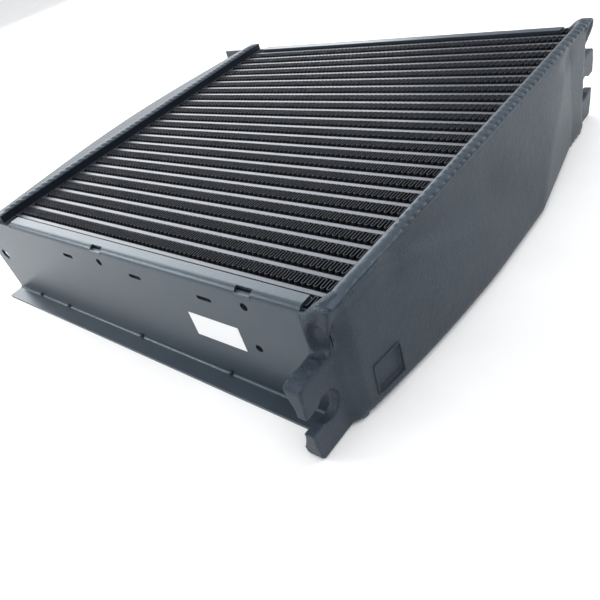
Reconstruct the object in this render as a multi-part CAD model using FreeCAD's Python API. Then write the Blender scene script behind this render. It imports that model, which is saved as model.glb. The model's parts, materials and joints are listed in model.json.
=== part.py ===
import FreeCAD, Part
import math
import os

# Bar-and-plate oil cooler with a shallow cast return tank on the right, a port tank on the left
# and a folded side plate at the front and at the rear. Millimetres, +Z up.
# Oil runs along X inside flat passages, air runs along Z between them, passages are stacked along Y.
# The origin is the centre of the outline's box, on the plane that the cooler stands on.

# Core
tube_count = 24
tube_pitch = 12.0
sheet_thickness = 0.5
closing_bar_height = 2.4
closing_bar_width = 5.0
core_half_length = 144.4
core_depth = 66.0
core_bottom = 5.0
header_bar_width = 3.5
fin_recess = 1.0
fin_sheet = 0.3
fin_leg_run = 4.86
turbulator_sheet = 0.3
turbulator_leg_run = 2.8
turbulator_gap = 2.0
end_sheet_thickness = 0.8

# Header strips and seam welds
strip_inset = 2.0
strip_width = 4.6
strip_height = 5.0
lower_strip_height = 3.5
weld_width = 6.6
weld_height = 2.2
lower_weld_height = 1.2

# Side plates
plate_thickness = 2.0
bend_radius = 2.0
plate_clearance = 1.2
ear_reach = 45.6
top_flange_setback = 12.8
top_flange_cover = 2.1
bottom_flange_reach = 12.0
slot_length = 11.0
slot_height = 2.6
slot_drop = 11.2
slot_places = [-64.0, 7.5, 65.8]
notch_width = 10.4
notch_depth_on_flange = 3.6
notch_drop = 2.4
notch_places = [-24.4, 97.1]
tab_height = 2.2
tab_clearance = 0.15
pilot_hole_radius = 2.4
pilot_hole_drop = 8.0
pilot_hole_shift = -1.6
lower_hole_place = 94.5
lower_hole_drop = 36.0
ear_hole_radius = 4.5
ear_hole_inset = 14.0
ear_hole_height = 38.0

# Sticker
sticker_width = 37.9
sticker_height = 16.4
sticker_thickness = 0.15
sticker_centre_x = 64.7
sticker_centre_z = 37.0

# Tanks
tank_wall = 3.0
tank_edge = 5.0
end_wall = 8.1
cheek_thickness = 3.5
cheek_overlap = 11.6

# Right tank: how far its wall stands beyond the core end, at named places along Y
right_top_reach = 5.1
right_end_reach = 2.1
right_corner_run = 26.0
right_corner_reach = 8.1
right_shoulder_run = 46.0
right_shoulder_reach = 10.9
right_middle_reach = 15.4
right_middle_place = -20.0
right_peak_reach = 16.7
right_peak_place = 16.0
right_facet_reach = 14.6
right_facet_place = 50.0
right_tail_reach = 5.2
right_tail_run = 32.0
crease_start_run = 30.0
crease_end_place = 32.0
crease_bend = 1.3
crease_top_share = 0.08
crease_bottom_share = 0.9
crease_clearance = 1.0
right_top_lead = 1.5
least_hollow = 0.6

# Left tank
left_end_reach = 14.6
left_quarter_reach = 20.6
left_quarter_run = 42.0
left_middle_reach = 28.1
left_middle_place = 44.0
left_peak_reach = 30.1
left_edge_radius = 8.0
baffle_thickness = 3.0

# Ports on the left tank
port_spacing = 190.0
port_face_reach = 41.6
port_boss_radius = 19.0
port_bore_radius = 10.25
port_depth = 16.0
port_throat_radius = 8.0

# Slotted hooks of the right tank
hook_width = 10.2
hook_top = 49.0
hook_reach = 26.2
hook_jaw_lead = 1.6
hook_hole_radius = 8.4
hook_hole_offset = 12.5
hook_hole_height = 25.6
hook_slot_height = 11.4
hook_corner_radius = 3.0
hook_relief_depth = 5.2
hook_relief_radius = 40.0
hook_relief_run = 5.5
pocket_radius = 13.0
pocket_depth = 2.2
pocket_height = 61.0

# Cuts and edges
cutter_margin = 1.0
edge_share = 0.6
touch_tolerance = 1e-6
flat_tolerance = 0.01

# Worked out from the sizes above
passage_height = closing_bar_height + 2 * sheet_thickness
fin_height = tube_pitch - passage_height
first_tube = -(tube_count - 1) * tube_pitch / 2
stack_half = -first_tube + passage_height / 2 + fin_height
core_half_width = stack_half + end_sheet_thickness
core_top = core_bottom + core_depth
strip_inner_half = core_half_length - strip_inset
strip_outer_half = strip_inner_half + strip_width
frame_top = core_top + strip_height
frame_bottom = core_bottom - lower_strip_height
plate_face = core_half_width + plate_thickness
tank_half = core_half_width + cheek_thickness
cheek_inner_half = core_half_length - cheek_overlap
hook_outer_half = cheek_inner_half + hook_width
plate_right_end = cheek_inner_half - plate_clearance
plate_left_end = core_half_length + ear_reach
top_flange_left_end = core_half_length - top_flange_setback
right_reach = core_half_length + right_peak_reach
left_reach = max(plate_left_end, core_half_length + port_face_reach)
middle_x = (right_reach - left_reach) / 2
hook_front = core_half_width + hook_reach
hook_hole_y = core_half_width + hook_hole_offset
parts_folder = "parts"

AXIS_X = FreeCAD.Vector(1, 0, 0)
AXIS_Y = FreeCAD.Vector(0, 1, 0)
AXIS_Z = FreeCAD.Vector(0, 0, 1)


def block(x0, x1, y0, y1, z0, z1):
    """Box between two corners."""
    return Part.makeBox(x1 - x0, y1 - y0, z1 - z0, FreeCAD.Vector(x0, y0, z0))


def mirrored(shape, axis):
    """Copy of a shape mirrored through the plane square to one axis."""
    return shape.mirror(FreeCAD.Vector(0, 0, 0), axis)


def rounded_wire(points, radii):
    """Closed wire through corner points, each corner rounded by its own radius."""
    count = len(points)
    starts = []
    middles = []
    ends = []
    for index in range(count):
        corner = points[index]
        radius = radii[index]
        back = (points[index - 1] - corner).normalize()
        ahead = (points[(index + 1) % count] - corner).normalize()
        if radius == 0:
            starts.append(corner)
            middles.append(None)
            ends.append(corner)
            continue
        half_turn = back.getAngle(ahead) / 2
        run = radius / math.tan(half_turn)
        inward = (back + ahead).normalize()
        starts.append(corner + back * run)
        middles.append(corner + inward * (radius / math.sin(half_turn) - radius))
        ends.append(corner + ahead * run)
    edges = []
    for index in range(count):
        if middles[index] is not None:
            edges.append(Part.Arc(starts[index], middles[index], ends[index]).toShape())
        after = (index + 1) % count
        if (starts[after] - ends[index]).Length > touch_tolerance:
            edges.append(Part.LineSegment(ends[index], starts[after]).toShape())
    return Part.Wire(edges)


def straight_wire(points):
    """Closed wire through corner points."""
    return Part.makePolygon(points + [points[0]])


def prism(wire, direction):
    """Solid swept from a flat closed wire."""
    return Part.Face(wire).extrude(direction)


def tube_places():
    """Y of each oil passage's middle."""
    return [first_tube + index * tube_pitch for index in range(tube_count)]


def air_gaps():
    """Y span of each air passage, from front to rear."""
    half = passage_height / 2
    lows = [first_tube - half - fin_height]
    lows += [place + half for place in tube_places()]
    return [(low, low + fin_height) for low in lows]


def leg_count(span, leg_run):
    """Even number of legs, each about one run long, that fills a span."""
    return 2 * round(span / (2 * leg_run))


def folded_strip(span_start, span_end, low, high, legs, sheet, place):
    """Closed wire of a zigzag sheet; place(along, across) gives the point."""
    step = (span_end - span_start) / legs
    rise = sheet * math.hypot(step, high - low) / step
    under = []
    over = []
    for index in range(legs + 1):
        along = span_start + index * step
        crest = index % 2 == 1
        under.append((along, high - rise if crest else low))
        over.append((along, high if crest else low + rise))
    over.reverse()
    return straight_wire([place(along, across) for along, across in under + over])


def air_fin(low, high):
    """Serpentine fin that fills one air passage from sheet to sheet."""
    reach = core_half_length - header_bar_width
    base = core_bottom + fin_recess
    legs = leg_count(2 * reach, fin_leg_run)
    wire = folded_strip(-reach, reach, low, high, legs, fin_sheet,
                        lambda along, across: FreeCAD.Vector(along, across, base))
    return prism(wire, AXIS_Z * (core_depth - 2 * fin_recess))


def turbulator(middle):
    """Folded strip inside one oil passage, open along X."""
    reach = core_half_length - turbulator_gap
    low = middle - closing_bar_height / 2
    high = middle + closing_bar_height / 2
    base = core_bottom + closing_bar_width
    top = core_top - closing_bar_width
    legs = leg_count(top - base, turbulator_leg_run)
    wire = folded_strip(base, top, low, high, legs, turbulator_sheet,
                        lambda along, across: FreeCAD.Vector(-reach, across, along))
    return prism(wire, AXIS_X * (2 * reach))


def parting_sheets():
    """Two flat sheets on each side of every oil passage."""
    sheets = []
    for middle in tube_places():
        inner = closing_bar_height / 2
        outer = inner + sheet_thickness
        sheets.append(block(-core_half_length, core_half_length, middle - outer, middle - inner,
                            core_bottom, core_top))
        sheets.append(block(-core_half_length, core_half_length, middle + inner, middle + outer,
                            core_bottom, core_top))
    return Part.makeCompound(sheets)


def closing_bars(low, high):
    """Bars that close every oil passage along one face of the core."""
    half = closing_bar_height / 2
    return Part.makeCompound([block(-core_half_length, core_half_length, middle - half, middle + half,
                                    low, high) for middle in tube_places()])


def header_bars(side):
    """Bars that close every air passage at one end of the core."""
    inner = side * (core_half_length - header_bar_width)
    outer = side * core_half_length
    return Part.makeCompound([block(min(inner, outer), max(inner, outer), low, high,
                                    core_bottom, core_top) for low, high in air_gaps()])


def header_strip(low, high):
    """Right-hand strip along the end of the core."""
    return block(strip_inner_half, strip_outer_half, -core_half_width, core_half_width, low, high)


def seam_weld(level, height, half_run):
    """Right-hand weld bead with a round back, above or below a level."""
    left = FreeCAD.Vector(strip_inner_half, -half_run, level)
    crown = FreeCAD.Vector(strip_inner_half + weld_width / 2, -half_run, level + height)
    right = FreeCAD.Vector(strip_inner_half + weld_width, -half_run, level)
    edges = [Part.Arc(left, crown, right).toShape(), Part.LineSegment(right, left).toShape()]
    return prism(Part.Wire(edges), AXIS_Y * (2 * half_run))


def end_sheet():
    """Flat sheet at the front of the stack, with tabs that sit in the side plate's notches."""
    sheet = block(-core_half_length, core_half_length, -core_half_width, -stack_half,
                  core_bottom, core_top)
    for place in notch_places:
        half = notch_width / 2 - tab_clearance
        low = core_top - notch_drop + tab_clearance
        tab = block(place - half, place + half, -plate_face, -core_half_width, low, low + tab_height)
        sheet = sheet.fuse(tab)
    return sheet.removeSplitter()


def plate_profile(with_top_flange):
    """Section of the folded front side plate, square to X."""
    face = -plate_face
    inner = -core_half_width
    lip = face - bottom_flange_reach
    outer_radius = bend_radius + plate_thickness
    flange_edge = first_tube - passage_height / 2 - top_flange_cover
    top = core_top + plate_thickness
    if with_top_flange:
        corners = [(flange_edge, core_top, 0), (inner, core_top, 0), (inner, 0, outer_radius),
                   (lip, 0, 0), (lip, plate_thickness, 0), (face, plate_thickness, bend_radius),
                   (face, top, outer_radius), (flange_edge, top, 0)]
    else:
        corners = [(inner, core_top, 0), (inner, 0, outer_radius), (lip, 0, 0),
                   (lip, plate_thickness, 0), (face, plate_thickness, bend_radius), (face, core_top, 0)]
    points = [FreeCAD.Vector(0, y, z) for y, z, radius in corners]
    return rounded_wire(points, [radius for y, z, radius in corners])


def round_slot(centre_x, centre_z, length, height, start_y, run):
    """Stadium-shaped cutter along Y."""
    radius = height / 2
    half = length / 2 - radius
    slot = block(centre_x - half, centre_x + half, start_y, start_y + run,
                 centre_z - radius, centre_z + radius)
    for side in (-1, 1):
        end = FreeCAD.Vector(centre_x + side * half, start_y, centre_z)
        slot = slot.fuse(Part.makeCylinder(radius, run, end, AXIS_Y))
    return slot


def side_plate():
    """Front side plate: flange over the outer fin row, web, and flange that stands outwards."""
    flanged = prism(plate_profile(True), AXIS_X * (plate_right_end + top_flange_left_end))
    flanged.translate(AXIS_X * -top_flange_left_end)
    plain = prism(plate_profile(False), AXIS_X * (plate_left_end - top_flange_left_end))
    plain.translate(AXIS_X * -plate_left_end)
    plate = flanged.fuse(plain)
    start = -plate_face - cutter_margin
    run = plate_thickness + 2 * cutter_margin
    for place in slot_places:
        plate = plate.cut(round_slot(place, core_top - slot_drop, slot_length, slot_height, start, run))
    for place in notch_places:
        half = notch_width / 2
        notch = block(place - half, place + half, start, -plate_face + notch_depth_on_flange,
                      core_top - notch_drop, core_top + plate_thickness + cutter_margin)
        plate = plate.cut(notch)
        hole = FreeCAD.Vector(place + pilot_hole_shift, start, core_top - pilot_hole_drop)
        plate = plate.cut(Part.makeCylinder(pilot_hole_radius, run, hole, AXIS_Y))
    lower = FreeCAD.Vector(lower_hole_place, start, core_top - lower_hole_drop)
    plate = plate.cut(Part.makeCylinder(pilot_hole_radius, run, lower, AXIS_Y))
    ear = FreeCAD.Vector(-plate_left_end + ear_hole_inset, start, ear_hole_height)
    plate = plate.cut(Part.makeCylinder(ear_hole_radius, run, ear, AXIS_Y))
    return plate.removeSplitter()


def sticker():
    """Blank sticker on the front side plate's web."""
    half = sticker_width / 2
    return block(sticker_centre_x - half, sticker_centre_x + half,
                 -plate_face - sticker_thickness, -plate_face,
                 sticker_centre_z - sticker_height / 2, sticker_centre_z + sticker_height / 2)


def right_stations():
    """Y and lower-edge reach of the right tank's wall, from front to rear."""
    return [(-tank_half, right_end_reach),
            (-core_half_width, right_end_reach),
            (-tank_half + right_corner_run, right_corner_reach),
            (-tank_half + right_shoulder_run, right_shoulder_reach),
            (right_middle_place, right_middle_reach),
            (right_peak_place, right_peak_reach),
            (right_facet_place, right_facet_reach),
            (tank_half - right_tail_run, right_tail_reach),
            (core_half_width, right_end_reach),
            (tank_half, right_end_reach)]


def crease_height(y):
    """Height of the soft crease that runs down the right tank's wall from front to rear."""
    start = -tank_half + crease_start_run
    share = (y - start) / (crease_end_place - start)
    share = min(max(share, crease_top_share), crease_bottom_share)
    return frame_top - share * (frame_top - frame_bottom)


def wall_reach(y, low_reach, z):
    """Reach of the right tank's outer wall at a height, with the crease between two slopes."""
    foot = frame_bottom + min(tank_edge, edge_share * low_reach)
    top_reach = min(right_top_reach, low_reach + right_top_lead)
    level = crease_height(y)
    share = (frame_top - level) / (frame_top - foot)
    crease_reach = top_reach + (low_reach - top_reach) * share ** crease_bend
    if z >= level:
        return top_reach + (crease_reach - top_reach) * (frame_top - z) / (frame_top - level)
    return crease_reach + (low_reach - crease_reach) * (level - z) / (level - foot)


def right_section(y, low_reach, inset):
    """Section of the right tank at one station, shrunk by an inset for the hollow."""
    top = core_top if inset else frame_top
    bottom = core_bottom if inset else frame_bottom
    edge = min(tank_edge, edge_share * (low_reach - inset))
    level = min(max(crease_height(y), bottom + edge + crease_clearance), top - crease_clearance)
    corners = [(0, top), (wall_reach(y, low_reach, top) - inset, top),
               (wall_reach(y, low_reach, level) - inset, level),
               (low_reach - inset, bottom + edge), (low_reach - inset - edge, bottom), (0, bottom)]
    return straight_wire([FreeCAD.Vector(core_half_length + reach, y, z) for reach, z in corners])


def reach_between(stations, y):
    """Reach at any Y, in a straight line between the two nearest stations."""
    for (y0, reach0), (y1, reach1) in zip(stations, stations[1:]):
        if y0 <= y <= y1 and y1 > y0:
            return reach0 + (reach1 - reach0) * (y - y0) / (y1 - y0)
    return stations[-1][1]


def hook():
    """Slotted hook at the front of the right tank, a plate square to X."""
    lean = -hook_front - hook_jaw_lead
    root = -core_half_width
    corners = [(root, hook_top, 0), (-hook_front, hook_top, hook_corner_radius),
               (lean, hook_hole_height, 0), (-hook_front, 0, hook_corner_radius), (root, 0, 0)]
    points = [FreeCAD.Vector(cheek_inner_half, y, z) for y, z, radius in corners]
    plate = prism(rounded_wire(points, [radius for y, z, radius in corners]),
                  AXIS_X * (hook_outer_half - cheek_inner_half))
    start = cheek_inner_half - cutter_margin
    end = hook_outer_half + cutter_margin
    centre = FreeCAD.Vector(start, -hook_hole_y, hook_hole_height)
    plate = plate.cut(Part.makeCylinder(hook_hole_radius, end - start, centre, AXIS_X))
    slot = block(start, end, lean - cutter_margin, -hook_hole_y,
                 hook_hole_height - hook_slot_height / 2, hook_hole_height + hook_slot_height / 2)
    plate = plate.cut(slot)
    relief_centre = FreeCAD.Vector(cheek_inner_half + hook_relief_depth - hook_relief_radius,
                                   lean - cutter_margin, hook_hole_height)
    relief_run = hook_relief_run + hook_jaw_lead + cutter_margin
    relief = Part.makeCylinder(hook_relief_radius, relief_run, relief_centre, AXIS_Y)
    return plate.cut(relief)


def cheek():
    """Front corner of the right tank's casting, with a shallow scoop above the hook."""
    plate = block(cheek_inner_half, core_half_length + right_end_reach / 2, -tank_half,
                  -core_half_width, frame_bottom, frame_top)
    start = cheek_inner_half - cutter_margin
    centre = FreeCAD.Vector(start, -tank_half + pocket_depth - pocket_radius, pocket_height)
    return plate.cut(Part.makeCylinder(pocket_radius, hook_outer_half - start, centre, AXIS_X))


def strip_gaps(side):
    """Cutters that leave room for the two header strips at one end."""
    near = side * (core_half_length - cutter_margin)
    far = side * strip_outer_half
    start = min(near, far)
    end = max(near, far)
    upper = block(start, end, -core_half_width, core_half_width, core_top, frame_top + cutter_margin)
    lower = block(start, end, -core_half_width, core_half_width, frame_bottom - cutter_margin, core_bottom)
    return [upper, lower]


def right_tank():
    """Cast return tank with its corner cheeks and hooks."""
    stations = right_stations()
    outside = Part.makeLoft([right_section(y, reach, 0) for y, reach in stations], True, True)
    hollow_end = core_half_width - end_wall
    hollow_stations = [(-hollow_end, reach_between(stations, -hollow_end))]
    hollow_stations += [station for station in stations if abs(station[0]) < hollow_end]
    hollow_stations += [(hollow_end, reach_between(stations, hollow_end))]
    hollow = Part.makeLoft([right_section(y, max(reach, tank_wall + least_hollow), tank_wall)
                            for y, reach in hollow_stations], True, True)
    corner = cheek().fuse(hook())
    body = outside.fuse([corner, mirrored(corner, AXIS_Y)])
    return body.cut([hollow] + strip_gaps(1)).removeSplitter()


def left_plan(inset, half):
    """Outline of the left tank in plan, shrunk by an inset for the hollow."""
    peak = core_half_length + left_peak_reach - inset
    quarter_y = core_half_width - left_quarter_run
    ends = [(-half, left_end_reach), (-quarter_y, left_quarter_reach),
            (-left_middle_place, left_middle_reach)]
    curve_points = [FreeCAD.Vector(-(core_half_length + reach - inset), y, 0) for y, reach in ends]
    curve_points.append(FreeCAD.Vector(-peak, 0, 0))
    for y, reach in reversed(ends):
        curve_points.append(FreeCAD.Vector(-(core_half_length + reach - inset), -y, 0))
    curve = Part.BSplineCurve()
    curve.interpolate(curve_points)
    front = FreeCAD.Vector(-core_half_length, -half, 0)
    rear = FreeCAD.Vector(-core_half_length, half, 0)
    return Part.Wire([curve.toShape(), Part.LineSegment(curve_points[-1], rear).toShape(),
                      Part.LineSegment(rear, front).toShape(),
                      Part.LineSegment(front, curve_points[0]).toShape()])


def left_edges(body):
    """Top and bottom edges of the left tank's curved wall."""
    chosen = []
    for edge in body.Edges:
        box = edge.BoundBox
        flat = box.ZLength < flat_tolerance
        long_run = box.YLength > core_half_width
        outside = box.XMax < -core_half_length - cutter_margin
        if flat and long_run and outside:
            chosen.append(edge)
    return chosen


def left_hollow():
    """Inside of the left tank."""
    hollow = prism(left_plan(tank_wall, core_half_width - end_wall), AXIS_Z * core_depth)
    hollow.translate(AXIS_Z * core_bottom)
    return hollow


def left_outside():
    """Outer form of the left tank, with rounded upper and lower edges."""
    body = prism(left_plan(0, core_half_width), AXIS_Z * (frame_top - frame_bottom))
    body.translate(AXIS_Z * frame_bottom)
    return body.makeFillet(min(left_edge_radius, edge_share * left_end_reach), left_edges(body))


def port_start(side):
    """Middle of one port's mouth."""
    face = core_half_length + port_face_reach
    return FreeCAD.Vector(-face, side * port_spacing / 2, core_bottom + core_depth / 2)


def port_throats():
    """Narrow ways from both ports into the left tank."""
    run = port_face_reach
    return [Part.makeCylinder(port_throat_radius, run, port_start(side), AXIS_X) for side in (-1, 1)]


def left_tank():
    """Cast port tank with a hole behind each port boss."""
    return left_outside().cut([left_hollow()] + port_throats() + strip_gaps(-1)).removeSplitter()


def port_boss(side):
    """Turned boss with a threaded port, its end shaped to the left tank's wall."""
    start = port_start(side)
    blank = Part.makeCylinder(port_boss_radius, port_face_reach, start, AXIS_X)
    bore = Part.makeCylinder(port_bore_radius, port_depth, start, AXIS_X)
    return blank.cut([left_outside(), bore] + port_throats()).removeSplitter()


def baffle():
    """Plate across the middle of the left tank that parts the two passes."""
    half = baffle_thickness / 2
    reach = core_half_length + left_peak_reach
    slice_box = block(-reach, -core_half_length, -half, half, core_bottom, core_top)
    return slice_box.common(left_hollow())


def write_piece(name, shape):
    """Move a piece into the part's frame, check it and write it."""
    placed = shape.copy()
    placed.translate(AXIS_X * -middle_x)
    if not placed.isValid():
        raise ValueError(name + " is not a valid shape")
    placed.exportStep(os.path.join(parts_folder, name + ".step"))
    print(name, len(placed.Solids), round(placed.Volume, 1))


def main():
    os.makedirs(parts_folder, exist_ok=True)
    write_piece("right_tank", right_tank())
    write_piece("left_tank", left_tank())
    write_piece("left_tank_baffle", baffle())
    write_piece("front_port_boss", port_boss(-1))
    write_piece("rear_port_boss", port_boss(1))
    upper_strip = header_strip(core_top, frame_top)
    lower_strip = header_strip(frame_bottom, core_bottom)
    write_piece("right_upper_header_strip", upper_strip)
    write_piece("right_lower_header_strip", lower_strip)
    write_piece("left_upper_header_strip", mirrored(upper_strip, AXIS_X))
    write_piece("left_lower_header_strip", mirrored(lower_strip, AXIS_X))
    upper_weld = seam_weld(frame_top, weld_height, core_half_width)
    lower_weld = seam_weld(frame_bottom, -lower_weld_height, core_half_width)
    write_piece("right_upper_seam_weld", upper_weld)
    write_piece("right_lower_seam_weld", lower_weld)
    write_piece("left_upper_seam_weld", mirrored(upper_weld, AXIS_X))
    write_piece("left_lower_seam_weld", mirrored(lower_weld, AXIS_X))
    front_plate = side_plate()
    write_piece("front_side_plate", front_plate)
    write_piece("rear_side_plate", mirrored(front_plate, AXIS_Y))
    front_sheet = end_sheet()
    write_piece("front_end_sheet", front_sheet)
    write_piece("rear_end_sheet", mirrored(front_sheet, AXIS_Y))
    write_piece("sticker", sticker())
    write_piece("parting_sheets", parting_sheets())
    write_piece("upper_closing_bars", closing_bars(core_top - closing_bar_width, core_top))
    write_piece("lower_closing_bars", closing_bars(core_bottom, core_bottom + closing_bar_width))
    write_piece("right_header_bars", header_bars(1))
    write_piece("left_header_bars", header_bars(-1))
    write_piece("turbulators", Part.makeCompound([turbulator(middle) for middle in tube_places()]))
    for number, (low, high) in enumerate(air_gaps(), start=1):
        write_piece("air_fin_{:02d}".format(number), air_fin(low, high))


main()
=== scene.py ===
import json
import math
import random

import bmesh
import bpy
import numpy as np
from mathutils import Matrix, Vector, noise


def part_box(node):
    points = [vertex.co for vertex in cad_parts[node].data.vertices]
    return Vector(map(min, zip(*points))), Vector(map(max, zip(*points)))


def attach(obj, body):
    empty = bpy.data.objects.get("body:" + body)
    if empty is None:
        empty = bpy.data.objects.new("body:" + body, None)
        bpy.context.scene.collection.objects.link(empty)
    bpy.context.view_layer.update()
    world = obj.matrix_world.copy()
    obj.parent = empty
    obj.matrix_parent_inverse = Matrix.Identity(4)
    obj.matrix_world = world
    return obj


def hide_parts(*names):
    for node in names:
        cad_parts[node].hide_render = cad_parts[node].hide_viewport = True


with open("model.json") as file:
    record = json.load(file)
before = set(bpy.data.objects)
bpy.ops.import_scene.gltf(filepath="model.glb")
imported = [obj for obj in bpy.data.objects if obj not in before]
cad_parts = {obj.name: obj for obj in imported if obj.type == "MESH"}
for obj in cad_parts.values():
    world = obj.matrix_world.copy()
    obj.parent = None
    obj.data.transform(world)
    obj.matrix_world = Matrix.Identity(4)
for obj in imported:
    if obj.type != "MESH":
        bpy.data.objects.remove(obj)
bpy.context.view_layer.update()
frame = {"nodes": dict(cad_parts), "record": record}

# Looks of a bar-and-plate oil cooler. Lengths below are millimetres from the middle of the core,
# and at() turns them into the frame's metres. X runs to the right tank, Y to the rear and Z up.
MM = 0.001
RNG = random.Random(7)
nodes = frame["nodes"]

# Places read from the CAD nodes
core_low, core_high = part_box("parting_sheets")
CORE_X = (core_low.x + core_high.x) / 2
CORE_HALF_LENGTH = (core_high.x - core_low.x) / 2 / MM
CORE_TOP = core_high.z / MM
CORE_BOTTOM = core_low.z / MM
strip_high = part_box("right_upper_header_strip")[1]
STRIP_OUTER = (strip_high.x - CORE_X) / MM
CORE_HALF_WIDTH = strip_high.y / MM
FRAME_TOP = strip_high.z / MM
FRAME_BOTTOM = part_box("right_lower_header_strip")[0].z / MM
PLATE_FACE = -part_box("sticker")[1].y / MM

# Camera at the photograph's viewing angle, with its clips in metres
CAMERA_PLACE = (280.4, -282.0, 225.2)
CAMERA_FORWARD = (-0.6178, 0.4621, -0.6363)
CAMERA_UP = (-0.2571, 0.6459, 0.7188)
CAMERA_LENS = 35.28
CAMERA_SENSOR = 36.0
CAMERA_SHIFT = (0.0501, 0.0667)
CAMERA_CLIPS = (0.01, 20.0)

# Fins: they stand a little proud of the bars and draw in towards their upper and lower edges.
# The outermost ones stay low as far as the side plates' flanges cover them.
FIN_COUNT = 25
FIN_WAVES = 77
FIN_SHEET = 0.3
FIN_ARC_STEPS = 5
FIN_TURN_SHARE = 0.98
FIN_JITTER = 0.12
FIN_RISE = 1.0
FIN_RISE_COVERED = -0.2
FIN_DRAW = 0.9
FIN_DRAW_RUN = 2.2
COVER_PAST_CHEEK = 1.2

# Right tank: its half width, then X of its wall along Y at the foot and at the top edge
TANK_HALF = 152.6
FOOT_LINE = [(-152.6, 143.4), (-147.0, 144.4), (-142.0, 148.6), (-132.0, 150.4), (-113.5, 153.2),
             (-94.0, 155.8), (-73.5, 157.9), (-52.0, 159.6), (-18.0, 161.2), (27.0, 161.3),
             (60.0, 161.2), (100.0, 154.6), (125.0, 147.2), (152.6, 143.4)]
TOP_LINE = [(-152.6, 149.4), (-146.0, 151.0), (-125.0, 151.0), (-100.0, 150.0), (120.0, 149.6),
            (152.6, 149.0)]

# Its corners: their X along Z, where they blend into the wall along Y, and least reach past the hooks
CORNER_LINE = [(0.0, 143.0), (49.5, 143.0), (53.0, 143.6), (57.0, 145.4), (63.0, 147.0), (72.0, 148.8),
               (76.0, 149.0)]
CORNER_BLEND = (-150.4, -142.0)
CORNER_STEP = [(-152.6, 0.0), (-151.3, 0.0), (-149.3, 2.1), (-146.0, 3.3), (-142.0, 5.0)]

# Its flat rear facet: start as Y and X, slope along Y and lean along Z
FACET_START = (45.0, 160.7)
FACET_SLOPE = 0.155
FACET_LEAN = 0.03

# Its crease, from the top edge at the front down to the foot, and the valley above it
CREASE_START_Y = -122.6
CREASE_END_Y = 32.0
CREASE_SHARES = (0.05, 0.93)
CREASE_BEND = 0.36
CREASE_SOFTNESS = 2.4
CREASE_REACH = 1.5
CREASE_SAMPLES = 5
LEAST_DROP = 1.0
VALLEY_DEPTH = 2.4
VALLEY_FADE = (-20.0, 30.0)

# Its rounded lower edge, which fades out towards the corners, and its rounded shoulder
TANK_EDGE = 5.0
TANK_EDGE_SHARE = 0.55
TANK_EDGE_FADE = (-151.0, -146.0)
TANK_EDGE_LEAST = 0.01
TANK_SHOULDER = 2.2
TANK_SHOULDER_SHARE = 0.8

# How finely the wall is laid out, and the skin that joins all of the casting
TANK_RINGS = 306
TANK_LEVELS = 70
LEAST_WALL = 0.6
VOXEL = 0.9
SKIN_FACTOR = 0.5
SKIN_ROUNDS = 2

# Corner pieces beside the core
CHEEK_INNER = 131.2
CHEEK_GAP = 0.1
CHEEK_LEVELS = (30.0, 49.5, 53.0, 57.0, 63.0, 68.0, 71.0)

# Balls along the weld's last stretch over the front corner: X, Y, Z, radius
BEAD_END = [(145.2, -141.5, 73.9, 4.2), (143.8, -146.0, 73.6, 4.3), (141.0, -149.4, 72.2, 4.0),
            (138.2, -150.6, 70.2, 3.6), (135.6, -151.2, 68.6, 2.8)]
BEAD_END_STEPS = 4
BALL_ROWS = 10
BALL_TURNS = 16

# Hooks: two faces along X, top, front, jaw tips, and how far the root reaches into the corner
HOOK_INNER = 132.8
HOOK_OUTER = 143.0
HOOK_TOP = 49.0
HOOK_FRONT = 175.3
HOOK_TIP = 176.5
HOOK_ROOT = 1.0
HOOK_HOLE_Y = 161.6
HOOK_HOLE_Z = 25.6
HOOK_HOLE_RADIUS = 8.4
HOOK_HOLE_STEPS = 44
HOOK_SLOT_HALF = 5.7
HOOK_CORNER = 3.0
HOOK_CORNER_STEPS = 6

# Bowed relief on the hooks' inner faces, and where it sets in along Y
RELIEF_SPAN = (150.0, 156.0)
RELIEF_DEPTH = 5.2
RELIEF_RADIUS = 40.0

# Rough skin on top of the hooks: grain sizes with their shares, and where it calms down along Y
ROUGH_GRAINS = [(1.9, 0.5), (0.8, 0.2)]
ROUGH_HEIGHT = 0.9
ROUGH_FROM = 151.5
ROUGH_BAND = 2.5
ROUGH_CALM = 0.75
ROUGH_CALM_SPAN = (167.0, 169.0)

# Soft hollows in the corners' faces: X, Z, half width, half height, depth
FACE_HOLLOWS = [(139.8, 57.6, 7.6, 10.0, 2.6)]
FACE_SPAN = (148.5, 151.0)
HOLLOW_EDGE = (0.15, 1.15)

# Pits in the wall: Y, Z, half width, half height, depth. A skin stays over the core's end.
WALL_PITS = [(-148.2, 59.5, 5.0, 9.5, 3.2), (-105.0, 68.0, 15.0, 8.0, 1.5)]
WALL_SPAN = (142.6, 145.4)
PIT_FALL = 1.8
CORE_COVER = 0.7
CORE_END_SPAN = (148.4, 150.4)
CORE_END_DROP = 4.0

# Lump at the wall's foot beside the corner: Y, Z, half width, half height, height
FOOT_LUMP = (-146.8, 3.0, 3.2, 7.0, 2.6)

# Stretch of the corners that is relaxed: fades along Y, X and Z
RELAX_START = (139.0, 143.0)
RELAX_END = (150.5, 153.0)
RELAX_WALL = (142.0, 143.5)
RELAX_TOP = (50.0, 56.0)
RELAX_ROUNDS = 24
RELAX_STEP = 0.5

# Bare pad on the tank's corner: middle and half sizes as Y and Z, and its rim's profile as shares
# of the rim's width and lift
PAD_PLACE = (-124.4, 18.5)
PAD_HALF = (10.4, 10.3)
PAD_CORNER = 1.8
PAD_CORNER_STEPS = 4
PAD_STEP = 1.2
PAD_RIM = 1.1
PAD_PROUD = 0.7
PAD_PROFILE = [(0.0, -1.2), (0.15, 0.7), (0.35, 1.0), (0.65, 1.0), (0.85, 0.7), (1.0, -3.0)]
PAD_SUNK = 1.3
PAD_SLOPE = (-0.5, 0.6)

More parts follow.
